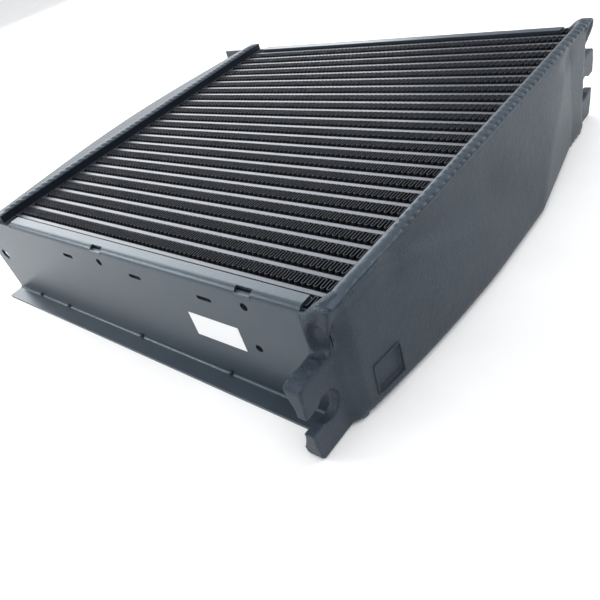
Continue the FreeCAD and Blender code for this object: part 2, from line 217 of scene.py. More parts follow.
# Weld beads, and the front stretch of the right upper one, where the coins run flat
BEAD_WIDTH = 6.6
BEAD_STEP = 0.5
BEAD_ROWS = 14
BEAD_GAP = 0.1
BEAD_OVERLAP = 0.3
BEAD_SUNK = 0.6
BEAD_FOOT_INNER = 0.3
BEAD_FOOT_OUTER = 0.2
BEAD_FADE = 12.0
BEAD_FADE_BEND = 0.6
BEAD_FLAT_SPAN = (-102.0, -86.0)
BEAD_FLAT_SHARE = 0.8
BEAD_WANDERS = [(0.2, 0.11, 0.0), (0.12, 0.31, 1.3)]
LOWER_BEAD_WIDTH = 4.4
LOWER_BEAD_COVER = 3.2

# Coins of a bead: pitch and its changes, dip between two coins, bow, lean and waves of the edge
COIN_PITCH = 5.8
PITCH_CHANCE = 0.06
PITCH_RANGE = (0.85, 1.15)
COIN_DIP = 0.45
COIN_SHARPNESS = 0.7
COIN_BOW = 0.55
COIN_MIDDLE = 0.62
COIN_LEAN = 1.6
COINS_FROM_RIGHT = 0.3
COINS_FROM_LEFT = -0.2
COIN_BLEND = 0.3
COIN_EDGE = 0.16
COIN_EDGE_SPAN = (0.6, 1.0)
CROWN_START = 0.05
CROWN_RUN = 0.90
CROWN_SKEW = 0.85
CROWN_FULLNESS = 0.6
RIPPLE_HEIGHT = 0.03
RIPPLE_TURN = 5.2

# Lower strip, with its ends inside the tank's corners
STRIP_COVER = 3.4
STRIP_CHAMFER = 0.4

# Tack welds along the fold between web and lower flange
TACK_PLACES = [-155.7, -114.6, -24.3, 59.8]
TACK_SIZES = (1.2, 1.5)
TACK_OUT = 0.7
TACK_LEVEL = 3.4
TACK_FLATNESS = 0.8
TACK_LUMPS = 5
TACK_SWELL = 0.10

# Stage, in metres and watts. A soft box has a name, place, aim, width, height and energy.
FLOOR_SIZE = 20.0
SKY_STOPS = [(0.05, (0.52, 0.53, 0.54)), (0.95, (0.96, 0.98, 1.0))]
SKY_STRENGTH = 0.95
SOFT_BOXES = [("left", (-1.25, 0.70, 0.75), (0.0, 0.0, 0.05), 1.9, 0.8, 24.0),
              ("front_left", (-0.75, -0.62, 0.50), (-0.16, -0.15, 0.03), 0.4, 0.35, 4.0),
              ("right_rear", (0.95, 1.15, 0.60), (0.16, 0.0, 0.03), 0.7, 0.6, 8.0),
              ("overhead", (0.5, -0.5, 2.4), (0.1, -0.1, 0.0), 2.4, 2.4, 30.0)]

# Coats: size of the mottling and, on castings, of the skin left by the sand. Specks are darker and
# lighter than the mottling, and sizes of other patterns are multiples of the grain.
MOTTLE_SIZE = 26.0
SAND_SIZE = 5.5
SPECK_DARKER = 0.72
SPECK_LIGHTER = 1.35
SPECK_GRAINS = 2.2
SPECK_SHARES = (0.15, 0.55)
GLOSS_GRAINS = 1.6
GLOSS_BELOW = 0.07
GLOSS_ABOVE = 0.09
COAT_TINT = (0.70, 0.87, 1.0)
BAR_TINT = (0.82, 0.88, 1.0)


def at(x, y, z):
    """Point in the frame's metres from core-centred millimetres."""
    return Vector((x * MM + CORE_X, y * MM, z * MM))


def smooth_line(points, y):
    """Value of a smooth line through given points, with no overshoot between them."""
    ys = np.array([p[0] for p in points], float)
    vs = np.array([p[1] for p in points], float)
    slopes = np.diff(vs) / np.diff(ys)
    tangents = np.zeros(len(ys))
    tangents[0], tangents[-1] = slopes[0], slopes[-1]
    for index in range(1, len(ys) - 1):
        before, after = slopes[index - 1], slopes[index]
        if before * after > 0:
            tangents[index] = 2 * before * after / (before + after)
    y = np.clip(np.asarray(y, float), ys[0], ys[-1])
    place = np.clip(np.searchsorted(ys, y, side="right") - 1, 0, len(ys) - 2)
    run = ys[place + 1] - ys[place]
    t = (y - ys[place]) / run
    return ((2 * t**3 - 3 * t**2 + 1) * vs[place] + (t**3 - 2 * t**2 + t) * run * tangents[place]
            + (3 * t**2 - 2 * t**3) * vs[place + 1] + (t**3 - t**2) * run * tangents[place + 1])


def soft_step(value, low, high):
    """0 below low, 1 above high, smooth between them."""
    t = np.clip((value - low) / (high - low), 0.0, 1.0)
    return t * t * (3 - 2 * t)


def add_piece(name, mesh, material, replaced=()):
    """Object from a mesh, riding on the cooler's one body."""
    obj = bpy.data.objects.new(name, mesh)
    bpy.context.scene.collection.objects.link(obj)
    mesh.materials.clear()
    mesh.materials.append(material)
    mesh.shade_smooth()
    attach(obj, "root")
    if replaced:
        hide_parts(*replaced)
    return obj


def mesh_from(name, points, faces):
    """Mesh with outward normals."""
    mesh = bpy.data.meshes.new(name)
    mesh.from_pydata([tuple(p) for p in points], [], faces)
    build = bmesh.new()
    build.from_mesh(mesh)
    bmesh.ops.recalc_face_normals(build, faces=build.faces)
    build.to_mesh(mesh)
    build.free()
    return mesh


def ring_loft(rings, endless=False):
    """Points and faces of a solid through rings with as many points each; an endless one has no ends."""
    count = len(rings[0])
    points = [p for ring in rings for p in ring]
    faces = []
    for row in range(len(rings) if endless else len(rings) - 1):
        after_row = (row + 1) % len(rings)
        for index in range(count):
            after = (index + 1) % count
            faces.append((row * count + index, row * count + after,
                          after_row * count + after, after_row * count + index))
    if not endless:
        faces.append(tuple(range(count)))
        faces.append(tuple((len(rings) - 1) * count + index for index in reversed(range(count))))
    return points, faces


# Materials

def colour_ramp(tree, value, stops):
    """Colour from a value, through stops of place and colour."""
    ramp = tree.nodes.new("ShaderNodeValToRGB")
    elements = ramp.color_ramp.elements
    while len(elements) < len(stops):
        elements.new(0.5)
    for element, (place, colour) in zip(elements, stops):
        element.position = place
        element.color = (*colour, 1.0)
    tree.links.new(value, ramp.inputs["Fac"])
    return ramp.outputs["Color"]


class Nodes:
    """Small helper that adds shader nodes and joins them."""

    def __init__(self, name):
        self.material = bpy.data.materials.new(name)
        self.material.use_nodes = True
        self.tree = self.material.node_tree
        self.shader = self.tree.nodes["Principled BSDF"]
        self.coordinates = self.tree.nodes.new("ShaderNodeTexCoord").outputs["Object"]

    def noise(self, size_mm, detail=3.0, rough=0.55, stretch=None):
        """Noise with features of a size in millimetres."""
        place = self.coordinates
        if stretch:
            mapping = self.tree.nodes.new("ShaderNodeMapping")
            mapping.inputs["Scale"].default_value = stretch
            self.tree.links.new(place, mapping.inputs["Vector"])
            place = mapping.outputs["Vector"]
        texture = self.tree.nodes.new("ShaderNodeTexNoise")
        texture.inputs["Scale"].default_value = 1 / (size_mm * MM)
        texture.inputs["Detail"].default_value = detail
        texture.inputs["Roughness"].default_value = rough
        self.tree.links.new(place, texture.inputs["Vector"])
        return texture.outputs["Fac"]

    def ramp(self, value, stops):
        """Colour from a value."""
        return colour_ramp(self.tree, value, stops)

    def mix(self, share, first, second):
        """Colour between two others."""
        mix = self.tree.nodes.new("ShaderNodeMix")
        mix.data_type = "RGBA"
        self.tree.links.new(share, mix.inputs["Factor"])
        self.tree.links.new(first, mix.inputs["A"])
        self.tree.links.new(second, mix.inputs["B"])
        return mix.outputs["Result"]

    def span(self, value, low, high):
        """Value from 0 to 1 spread between low and high."""
        span = self.tree.nodes.new("ShaderNodeMapRange")
        span.inputs["To Min"].default_value = low
        span.inputs["To Max"].default_value = high
        self.tree.links.new(value, span.inputs["Value"])
        return span.outputs["Result"]

    def upward(self, low, high):
        """White on faces that point up, black on the others, between two Z of their true normal."""
        split = self.tree.nodes.new("ShaderNodeSeparateXYZ")
        geometry = self.tree.nodes.new("ShaderNodeNewGeometry")
        self.tree.links.new(geometry.outputs["True Normal"], split.inputs["Vector"])
        return self.ramp(split.outputs["Z"], [(low, (0.0, 0.0, 0.0)), (high, (1.0, 1.0, 1.0))])

    def bump(self, heights):
        """Chain of bumps: (value, depth in millimetres, strength)."""
        normal = None
        for value, depth, strength in heights:
            bump = self.tree.nodes.new("ShaderNodeBump")
            bump.inputs["Distance"].default_value = depth * MM
            bump.inputs["Strength"].default_value = strength
            self.tree.links.new(value, bump.inputs["Height"])
            if normal is not None:
                self.tree.links.new(normal, bump.inputs["Normal"])
            normal = bump.outputs["Normal"]
        self.tree.links.new(normal, self.shader.inputs["Normal"])

    def set(self, socket, value):
        """Link a node's output to one of the shader's sockets, or set it to a constant."""
        if isinstance(value, bpy.types.NodeSocket):
            self.tree.links.new(value, self.shader.inputs[socket])
        else:
            self.shader.inputs[socket].default_value = value


def coat(name, dark, light, roughness, grain, grain_depth, sand_depth=0.0, specular=0.5, tint=COAT_TINT):
    """Satin powder coat: mottled tone, fine grain and, on castings, the skin of the sand below."""
    paint = Nodes(name)
    broad = paint.noise(MOTTLE_SIZE, 4.0)
    fine = paint.noise(grain, 2.0, 0.6)
    tone = paint.ramp(broad, [(0.32, dark), (0.70, light)])
    darker = tuple(SPECK_DARKER * c for c in dark)
    lighter = tuple(SPECK_LIGHTER * c for c in light)
    speck = paint.ramp(fine, [(0.30, darker), (0.72, lighter)])
    share = paint.span(paint.noise(grain * SPECK_GRAINS, 2.0), *SPECK_SHARES)
    paint.set("Base Color", paint.mix(share, tone, speck))
    gloss = paint.noise(grain * GLOSS_GRAINS, 2.0)
    paint.set("Roughness", paint.span(gloss, roughness - GLOSS_BELOW, roughness + GLOSS_ABOVE))
    paint.set("Specular IOR Level", specular)
    paint.set("Specular Tint", (*tint, 1.0))
    heights = [(fine, grain_depth, 0.8)]
    if sand_depth:
        heights.insert(0, (paint.noise(SAND_SIZE, 3.0), sand_depth, 0.6))
    paint.bump(heights)
    return paint.material


def fin_coat():
    """Dark coat with painted shade inside the folds and a painted highlight on the up-facing edges."""
    paint = Nodes("fin_coat")
    fine = paint.noise(0.8, 2.0)
    # Painted shade: near-black on faces that don't point up. Painted highlight: a lighter colour on faces
    # that point up.
    inside = paint.ramp(fine, [(0.3, (0.003, 0.004, 0.006)), (0.7, (0.007, 0.008, 0.011))])
    edge = paint.ramp(fine, [(0.3, (0.055, 0.060, 0.072)), (0.7, (0.090, 0.097, 0.112))])
    paint.set("Base Color", paint.mix(paint.upward(0.90, 0.98), inside, edge))
    paint.set("Roughness", paint.span(fine, 0.45, 0.6))
    paint.set("Specular IOR Level", 0.12)
    paint.bump([(fine, 0.02, 0.4)])
    return paint.material


def bare_metal():
    """Plain aluminium of pieces inside the core."""
    metal = Nodes("bare_aluminium")
    brushed = metal.noise(3.0, 3.0, 0.6, (1.0, 6.0, 1.0))
    metal.set("Base Color", metal.ramp(brushed, [(0.3, (0.42, 0.43, 0.45)), (0.7, (0.58, 0.59, 0.6))]))
    metal.set("Metallic", 1.0)
    metal.set("Roughness", metal.span(brushed, 0.34, 0.5))
    metal.bump([(brushed, 0.03, 0.3)])
    return metal.material


def label_paper():
    """Blank matt white label."""
    paper = Nodes("label_paper")
    fibre = paper.noise(0.9, 4.0, 0.65)
    paper.set("Base Color", paper.ramp(fibre, [(0.25, (0.78, 0.79, 0.80)), (0.75, (0.88, 0.88, 0.88))]))
    paper.set("Roughness", paper.span(fibre, 0.42, 0.58))
    paper.bump([(fibre, 0.02, 0.25)])
    return paper.material


CAST = coat("cast_coat", (0.012, 0.017, 0.025), (0.023, 0.031, 0.043), roughness=0.44, grain=0.95,
            grain_depth=0.40, sand_depth=0.5, specular=0.40)
SHEET = coat("sheet_coat", (0.018, 0.025, 0.034), (0.028, 0.037, 0.049), roughness=0.33, grain=0.70,
             grain_depth=0.12, specular=0.70)
SEAM = coat("seam_coat", (0.022, 0.030, 0.041), (0.038, 0.049, 0.065), roughness=0.40, grain=0.80,
            grain_depth=0.16, sand_depth=0.2)
# Lighter copy of the coat on the closing bars: its lighter base colour is painted sheen.
BAR_SHEEN = coat("bar_sheen_coat", (0.040, 0.044, 0.054), (0.062, 0.067, 0.081), roughness=0.36, grain=0.50,
           grain_depth=0.05, specular=0.80, tint=BAR_TINT)
# Near-black copy of the coat on the parting sheets: painted shade where their edges sit lower than the bars.
PARTING_SHADE = coat("parting_painted_shade", (0.003, 0.003, 0.004), (0.006, 0.006, 0.008), roughness=0.70, grain=0.50,
               grain_depth=0.02, specular=0.1)
# Darker copy of the coat on the upper header strips: painted shade on their inner faces.
STRIP_SHADE = coat("strip_painted_shade", (0.005, 0.007, 0.011), (0.010, 0.013, 0.019), roughness=0.45, grain=0.60,
             grain_depth=0.06, specular=0.25)
FIN = fin_coat()
BARE = bare_metal()
PAPER = label_paper()
SLOT_LOOKS = {"castings": CAST, "sheet_parts": SHEET, "seam": SEAM, "core_bars": BAR_SHEEN, "fins": FIN,
              "bare_inside": BARE, "sticker": PAPER}
# Nodes that get a darker copy of the coat as painted shade
NODE_SHADE_LOOKS = {"parting_sheets": PARTING_SHADE, "left_upper_header_strip": STRIP_SHADE,
              "right_upper_header_strip": STRIP_SHADE}


def dress_nodes():
    """Give the parting sheets and upper header strips their painted-shade coats, and every other CAD node the
    look of its material slot in the record.
    """
    for row in frame["record"]["subparts"]:
        obj = nodes[row["node"]]
        look = NODE_SHADE_LOOKS.get(row["node"], SLOT_LOOKS[row["material_slot"]])
        if not obj.material_slots:
            obj.data.materials.append(look)
        for slot in obj.material_slots:
            slot.material = look


# Fins

def fin_path(low, high, left, right):
    """Centre line of a serpentine fin with round turns, in millimetres."""
    legs = 2 * FIN_WAVES
    step = (right - left) / legs
    radius = step / 2
    path = []
    for index in range(legs):
        shift = RNG.uniform(-FIN_JITTER, FIN_JITTER)
        reach = RNG.uniform(0.0, FIN_JITTER)
        centre = left + (index + 0.5) * step + shift
        upper = index % 2 == 0
        level = high - FIN_SHEET / 2 - radius - reach if upper else low + FIN_SHEET / 2 + radius + reach
        for turn in range(FIN_ARC_STEPS + 1):
            angle = math.pi * (1 - turn / FIN_ARC_STEPS)
            lift = math.sin(angle) * radius * (1 if upper else -1)
            path.append((centre + math.cos(angle) * radius * FIN_TURN_SHARE, level + lift))
    return np.array(path)


def fin_row(number):
    """One serpentine fin in place of its CAD node."""
    node = "air_fin_{:02d}".format(number)
    low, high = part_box(node)
    path = fin_path(low.y / MM, high.y / MM, (low.x - CORE_X) / MM, (high.x - CORE_X) / MM)
    ahead = np.gradient(path, axis=0)
    ahead /= np.linalg.norm(ahead, axis=1)[:, None]
    side = np.stack([-ahead[:, 1], ahead[:, 0]], axis=1) * FIN_SHEET / 2
    middle = (low.y + high.y) / 2 / MM
    narrow = 1 - 2 * FIN_DRAW / ((high.y - low.y) / MM)
    rings = []
    for place, across in zip(path, side):
        covered = number in (1, FIN_COUNT) and place[0] < CHEEK_INNER + COVER_PAST_CHEEK
        rise = FIN_RISE_COVERED if covered else FIN_RISE
        top = CORE_TOP + rise
        bottom = CORE_BOTTOM - rise
        levels = [(bottom, narrow), (bottom + FIN_DRAW_RUN, 1.0), (top - FIN_DRAW_RUN, 1.0), (top, narrow)]
        ring = [at(place[0] + across[0], middle + (place[1] - middle) * share + across[1], z)
                for z, share in levels]
        ring += [at(place[0] - across[0], middle + (place[1] - middle) * share - across[1], z)
                 for z, share in reversed(levels)]
        rings.append(ring)
    name = "fin_folds_{:02d}".format(number)
    obj = add_piece(name, mesh_from("fin_folds", *ring_loft(rings)), FIN, [node])
    obj.data.shade_flat()


# Right tank

def creased_wall_x(y, z):
    """X of the wall: a leaning slope above the crease, a steeper one below it, a facet at the rear."""
    foot = smooth_line(FOOT_LINE, y)
    top = smooth_line(TOP_LINE, y)
    share = np.clip((y - CREASE_START_Y) / (CREASE_END_Y - CREASE_START_Y), *CREASE_SHARES)
    level = FRAME_TOP - share * (FRAME_TOP - FRAME_BOTTOM)
    crease = top + (foot - top) * share**CREASE_BEND
    down = (FRAME_TOP - z) / (FRAME_TOP - level)
    valley = VALLEY_DEPTH * (1 - soft_step(y, *VALLEY_FADE))
    upper = top + (crease - top) * down - valley * np.sin(np.pi * np.clip(down, 0, 1))**2
    lower = crease + (foot - crease) * (level - z) / np.maximum(level - FRAME_BOTTOM, LEAST_DROP)
    wall = np.where(z >= level, upper, lower)
    facet = FACET_START[1] - FACET_SLOPE * (y - FACET_START[0]) - FACET_LEAN * (z - FRAME_BOTTOM)
    return np.where(y > 0, np.minimum(wall, facet), wall)


def wall_x(y, z):
    """X of the wall with its corners and the lumps at their feet."""
    front = -np.abs(y)
    corner = smooth_line(CORNER_LINE, z)
    share = soft_step(front, *CORNER_BLEND)
    step = HOOK_OUTER + smooth_line(CORNER_STEP, front)
    lump_y, lump_z, half_y, half_z, height = FOOT_LUMP
    lump = height * np.exp(-((front - lump_y) / half_y)**2 - ((z - lump_z) / half_z)**2)
    return np.maximum(corner + (creased_wall_x(y, z) - corner) * share, step) + lump


def soft_wall_x(y, z):
    """The wall averaged over a short height, then rounded at its lower and upper edge."""
    offsets = np.linspace(-CREASE_REACH, CREASE_REACH, CREASE_SAMPLES) * CREASE_SOFTNESS
    levels = np.clip(z[:, None] + offsets[None, :], FRAME_BOTTOM, FRAME_TOP)
    x = wall_x(y[:, None] + 0 * levels, levels).mean(axis=1)
    edge = TANK_EDGE * soft_step(-np.abs(y), *TANK_EDGE_FADE) + TANK_EDGE_LEAST
    down = np.clip((FRAME_BOTTOM + edge - z) / edge, 0, 1)
    up = np.clip((z - FRAME_TOP + TANK_SHOULDER) / TANK_SHOULDER, 0, 1)
    x = x - edge * (1 - np.sqrt(1 - down**2)) * TANK_EDGE_SHARE
    return x - TANK_SHOULDER * (1 - np.sqrt(1 - up**2)) * TANK_SHOULDER_SHARE


def tank_body():
    """Closed solid between the core's end and the tank's wall."""
    rings = []
    levels = np.linspace(FRAME_TOP, FRAME_BOTTOM, TANK_LEVELS)
    for y in np.linspace(-TANK_HALF, TANK_HALF, TANK_RINGS):
        x = soft_wall_x(np.full_like(levels, y), levels)
        ring = [(value, y, level) for value, level in zip(x, levels)]
        back = min(STRIP_OUTER, x.min() - LEAST_WALL)
        core = min(CORE_HALF_LENGTH, back)
        ring += [(back, y, FRAME_BOTTOM), (back, y, CORE_BOTTOM), (core, y, CORE_BOTTOM),
                 (core, y, CORE_TOP), (back, y, CORE_TOP), (back, y, FRAME_TOP)]
        rings.append([at(*p) for p in ring])
    return ring_loft(rings)


def cheek_body(side):
    """Corner between the core's side and the tank's outer face; side -1 is the front."""
    rings = []
    inner = side * (CORE_HALF_WIDTH + CHEEK_GAP)
    outer = side * TANK_HALF
    for z in (FRAME_BOTTOM, *CHEEK_LEVELS):
        x = float(smooth_line(CORNER_LINE, z))
        rings.append([at(CHEEK_INNER, inner, z), at(CHEEK_INNER, outer, z), at(x, outer, z), at(x, inner, z)])
    return ring_loft(rings)


def ball_body(x, y, z, radius):
    """Closed ball."""
    rings = []
    for row in range(1, BALL_ROWS):
        tilt = math.pi * row / BALL_ROWS
        ring = []
        for step in range(BALL_TURNS):
            turn = 2 * math.pi * step / BALL_TURNS
            ring.append(at(x + radius * math.sin(tilt) * math.cos(turn),
                           y + radius * math.sin(tilt) * math.sin(turn), z + radius * math.cos(tilt)))
        rings.append(ring)
    return ring_loft(rings)


def bead_end(side):
    """Balls along the weld's last stretch, where it runs down over the corner; side -1 is the front."""
    bodies = []
    for first, second in zip(BEAD_END, BEAD_END[1:]):
        for step in range(BEAD_END_STEPS):
            x, y, z, radius = [a + (b - a) * step / BEAD_END_STEPS for a, b in zip(first, second)]
            bodies.append(ball_body(x, -side * y, z, radius))
    return bodies


def arc(centre_y, centre_z, radius, start, end, steps):
    """Points of an arc in the plane square to X; angles in degrees."""
    points = []
    for index in range(steps + 1):
        angle = math.radians(start + (end - start) * index / steps)
        points.append((centre_y + radius * math.cos(angle), centre_z + radius * math.sin(angle)))
    return points


def hook_outline():
    """Front hook seen along X: jaw, round hole with a slot to the front, toe."""
    half_turn = math.degrees(math.asin(HOOK_SLOT_HALF / HOOK_HOLE_RADIUS))
    slot_top = HOOK_HOLE_Z + HOOK_SLOT_HALF
    slot_bottom = HOOK_HOLE_Z - HOOK_SLOT_HALF
    root = -CORE_HALF_WIDTH + HOOK_ROOT
    corner_y = -HOOK_FRONT + HOOK_CORNER
    outline = [(root, HOOK_TOP)]
    outline += arc(corner_y, HOOK_TOP - HOOK_CORNER, HOOK_CORNER, 90, 180, HOOK_CORNER_STEPS)
    outline += [(-HOOK_TIP, slot_top)]
    outline += arc(-HOOK_HOLE_Y, HOOK_HOLE_Z, HOOK_HOLE_RADIUS, 180 - half_turn, -180 + half_turn,
                   HOOK_HOLE_STEPS)
    outline += [(-HOOK_TIP, slot_bottom)]
    outline += arc(corner_y, HOOK_CORNER, HOOK_CORNER, 180, 270, HOOK_CORNER_STEPS)
    outline += [(root, 0.0)]
    return outline


def hook_body(side):
    """Closed prism of one hook; side -1 is the front."""
    outline = [(-side * y, z) for y, z in hook_outline()]
    rings = [[at(x, y, z) for y, z in outline] for x in (HOOK_INNER, HOOK_OUTER)]
    return ring_loft(rings)


def fused(name, bodies):
    """One skin over overlapping closed bodies, with its edges softened as a casting's are."""
    points, faces = [], []
    for body_points, body_faces in bodies:
        start = len(points)
        points += body_points
        faces += [tuple(index + start for index in face) for face in body_faces]
    source = bpy.data.objects.new(name + "_source", mesh_from(name, points, faces))
    bpy.context.scene.collection.objects.link(source)
    remesh = source.modifiers.new("skin", "REMESH")
    remesh.mode = "VOXEL"
    remesh.voxel_size = VOXEL * MM
    smooth = source.modifiers.new("soft", "SMOOTH")
    smooth.factor = SKIN_FACTOR
    smooth.iterations = SKIN_ROUNDS
    bpy.context.view_layer.update()
    evaluated = source.evaluated_get(bpy.context.evaluated_depsgraph_get())
    mesh = bpy.data.meshes.new_from_object(evaluated)
    bpy.data.objects.remove(source)
    return mesh


def relax(place, edges, weight):
    """Weighted smoothing of points towards their neighbours."""
    degree = np.bincount(edges.ravel(), minlength=len(place))[:, None]
    for _ in range(RELAX_ROUNDS):
        total = np.zeros_like(place)
        for axis in range(3):
            total[:, axis] = (np.bincount(edges[:, 0], place[edges[:, 1], axis], len(place))
                              + np.bincount(edges[:, 1], place[edges[:, 0], axis], len(place)))
        place += (total / degree - place) * weight[:, None] * RELAX_STEP
    return place


def roughness_field(place, size_mm):
    """Deterministic noise between -1 and 1 at points in metres."""
    values = np.empty(len(place))
    for index, point in enumerate(place):
        values[index] = noise.noise(Vector(point) / (size_mm * MM))
    return values


def jaw_relief(x, ahead, z):
    """X with the bowed relief on the hooks' inner faces; ahead is the distance from the middle along Y."""
    rise = np.clip(np.abs(z - HOOK_HOLE_Z), 0, RELIEF_RADIUS)
    inner = HOOK_INNER + RELIEF_DEPTH - RELIEF_RADIUS + np.sqrt(RELIEF_RADIUS**2 - rise**2)
    inner = np.maximum(inner, HOOK_INNER)
    share = np.clip((HOOK_OUTER - x) / (HOOK_OUTER - HOOK_INNER), 0, 1)
    return x + soft_step(ahead, *RELIEF_SPAN) * share * (inner - HOOK_INNER)


def face_hollows(x, y, z):
    """Y with the soft oval hollows in the corners' faces."""
    on_face = soft_step(np.abs(y), *FACE_SPAN)
    for centre_x, centre_z, half_x, half_z, depth in FACE_HOLLOWS:
        gap = ((x - centre_x) / half_x)**2 + ((z - centre_z) / half_z)**2
        y = y - np.sign(y) * on_face * (depth * (1 - soft_step(gap, *HOLLOW_EDGE)))
    return y


def wall_pits(x, ahead, z, on_wall):
    """X with the wall's pits, which leave a skin over the core's end."""
    for centre_y, centre_z, half_y, half_z, depth in WALL_PITS:
        gap = ((-ahead - centre_y) / half_y)**2 + ((z - centre_z) / half_z)**2
        sunk = x - on_wall * depth * np.exp(-PIT_FALL * gap)
        skin = CORE_HALF_LENGTH + CORE_COVER - CORE_END_DROP * soft_step(ahead, *CORE_END_SPAN)
        x = np.maximum(sunk, np.minimum(x, skin))
    return x


def pad_recess(x, y, z, on_wall):
    """X with the sunk field inside the bare pad's rim."""
    reach_y = PAD_HALF[0] - PAD_RIM - np.abs(y - PAD_PLACE[0])
    reach_z = PAD_HALF[1] - PAD_RIM - np.abs(z - PAD_PLACE[1])
    return x - on_wall * PAD_SUNK * soft_step(np.minimum(reach_y, reach_z), *PAD_SLOPE)


def corner_weight(x, ahead, z):
    """Where the corners are relaxed: beside and below the hooks' roots."""
    along = soft_step(ahead, *RELAX_START) * (1 - soft_step(ahead, *RELAX_END))
    return along * soft_step(x, *RELAX_WALL) * (1 - soft_step(z, *RELAX_TOP))


def roughen_hook_tops(place, ahead, z):
    """Rough cast skin on top of the hooks, calmer towards their tips."""
    top = (ahead > ROUGH_FROM) & (z > HOOK_TOP - ROUGH_BAND)
    bumps = sum(roughness_field(place[top], size) * share for size, share in ROUGH_GRAINS)
    calm = 1 - ROUGH_CALM * soft_step(ahead[top], *ROUGH_CALM_SPAN)
    place[top, 2] += bumps * ROUGH_HEIGHT * MM * calm


def shape_tank(mesh):
    """Reliefs, hollows, relaxed corners and rough hook tops of the casting's skin."""
    flat = np.zeros(len(mesh.vertices) * 3)
    mesh.vertices.foreach_get("co", flat)
    place = flat.reshape(-1, 3)
    pairs = np.zeros(len(mesh.edges) * 2, np.int32)
    mesh.edges.foreach_get("vertices", pairs)
    x = (place[:, 0] - CORE_X) / MM
    y = place[:, 1] / MM
    z = place[:, 2] / MM
    ahead = np.abs(y)
    x = jaw_relief(x, ahead, z)
    y = face_hollows(x, y, z)
    on_wall = soft_step(x, *WALL_SPAN)
    x = wall_pits(x, ahead, z, on_wall)
    x = pad_recess(x, y, z, on_wall)
    place[:, 0] = x * MM + CORE_X
    place[:, 1] = y * MM
    place = relax(place, pairs.reshape(-1, 2), corner_weight(x, ahead, z))
    roughen_hook_tops(place, ahead, z)
    mesh.vertices.foreach_set("co", place.ravel())
    mesh.update()


def right_tank():
    """Cast tank with its corner cheeks and hooks as one skin."""
    bodies = [tank_body()]
    for side in (-1, 1):
        bodies.append(cheek_body(side))
        bodies.append(hook_body(side))
        bodies += bead_end(side)
    mesh = fused("right_tank_casting", bodies)
    shape_tank(mesh)
    add_piece("right_tank_casting", mesh, CAST, ["right_tank"])


def pad_outline():
    """Points around the pad: Y and Z of the corner's middle, then the direction out of it."""
    half_y, half_z = PAD_HALF
    turns = []
    for sign_y, sign_z, start in ((1, 1, 0), (-1, 1, 90), (-1, -1, 180), (1, -1, 270)):
        for step in range(PAD_CORNER_STEPS + 1):
            angle = math.radians(start + 90 * step / PAD_CORNER_STEPS)
            turns.append((sign_y * (half_y - PAD_CORNER), sign_z * (half_z - PAD_CORNER),
                          math.cos(angle), math.sin(angle)))
    outline = []
    for first, second in zip(turns, turns[1:] + turns[:1]):
        run = math.hypot(second[0] - first[0], second[1] - first[1])
        steps = max(1, int(run / PAD_STEP))
        for step in range(steps):
            share = step / steps
            outline.append([a + (b - a) * share for a, b in zip(first, second)])
    return outline


def bare_pad():
    """Raised rim of a bare pad that follows the tank's wall."""
    centre_y, centre_z = PAD_PLACE
    rings = []
    for base_y, base_z, out_y, out_z in pad_outline():
        ring = []
        for share, lift in PAD_PROFILE:
            spread = PAD_CORNER - share * PAD_RIM
            y = centre_y + base_y + out_y * spread
            z = centre_z + base_z + out_z * spread
            x = float(soft_wall_x(np.array([y]), np.array([z]))[0])
            ring.append(at(x + lift * PAD_PROUD, y, z))
        rings.append(ring)
    mesh = mesh_from("bare_pad_rim", *ring_loft(rings, endless=True))
    add_piece("bare_pad_rim", mesh, CAST)


# Welds

def bead_section(y, phase, coins, coins_from):
    """Rows across a bead: share of its width, lift as a share of its height, reach of its edge."""
    rows = []
    for index in range(BEAD_ROWS + 1):
        t = index / BEAD_ROWS
        bow = COIN_BOW * (t - COIN_MIDDLE)**2
        coin = abs(math.sin(math.pi * (phase - COIN_LEAN * bow)))**COIN_SHARPNESS
        crown = math.sin(math.pi * (CROWN_START + CROWN_RUN * t**CROWN_SKEW))**CROWN_FULLNESS
        dip = COIN_DIP * coins * (1 - coin) * soft_step(t, coins_from, coins_from + COIN_BLEND)
        ripple = RIPPLE_HEIGHT * (1 - coins) * math.sin(y * RIPPLE_TURN)
        edge = 1 - COIN_EDGE * coins * (1 - coin) * soft_step(t, *COIN_EDGE_SPAN)
        rows.append((t, crown - dip + ripple, edge))
    return rows


def seam_bead(name, node, side, up, flat=0.0, width=BEAD_WIDTH, cover=0.0):
    """Rippled bead like a row of leaning coins, in place of its CAD node; flat calms its front stretch."""
    low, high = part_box(node)
    level = (low.z if up > 0 else high.z) / MM
    height = (high.z - low.z) / MM
    inner = (low.x - CORE_X) / MM if side > 0 else (high.x - CORE_X) / MM
    coins_from = COINS_FROM_RIGHT if side > 0 else COINS_FROM_LEFT
    first, last = low.y / MM + cover, high.y / MM - cover
    steps = int((last - first) / BEAD_STEP)
    phase = 0.0
    pitch = COIN_PITCH
    rings = []
    for step in range(steps + 1):
        y = first + (last - first) * step / steps
        phase += (last - first) / steps / pitch
        if RNG.random() < PITCH_CHANCE:
            pitch = COIN_PITCH * RNG.uniform(*PITCH_RANGE)
        coins = 1 - BEAD_FLAT_SHARE * flat * (1 - soft_step(y, *BEAD_FLAT_SPAN))
        wander = sum(sway * math.sin(y * turn + start) for sway, turn, start in BEAD_WANDERS)
        fade = max(0.0, min(1.0, (y - first) / BEAD_FADE, (last - y) / BEAD_FADE))
        ring = []
        for t, lift, edge in bead_section(y, phase, coins, coins_from):
            out = BEAD_GAP + wander * t + t * edge * (width + BEAD_OVERLAP)
            ring.append(at(inner + side * out, y, level + up * height * lift * fade**BEAD_FADE_BEND))
        ring.append(at(inner + side * (width + BEAD_FOOT_OUTER), y, level - up * BEAD_SUNK))
        ring.append(at(inner + side * BEAD_FOOT_INNER, y, level - up * BEAD_SUNK))
        rings.append(ring)
    add_piece(name, mesh_from(name, *ring_loft(rings)), SEAM, [node])


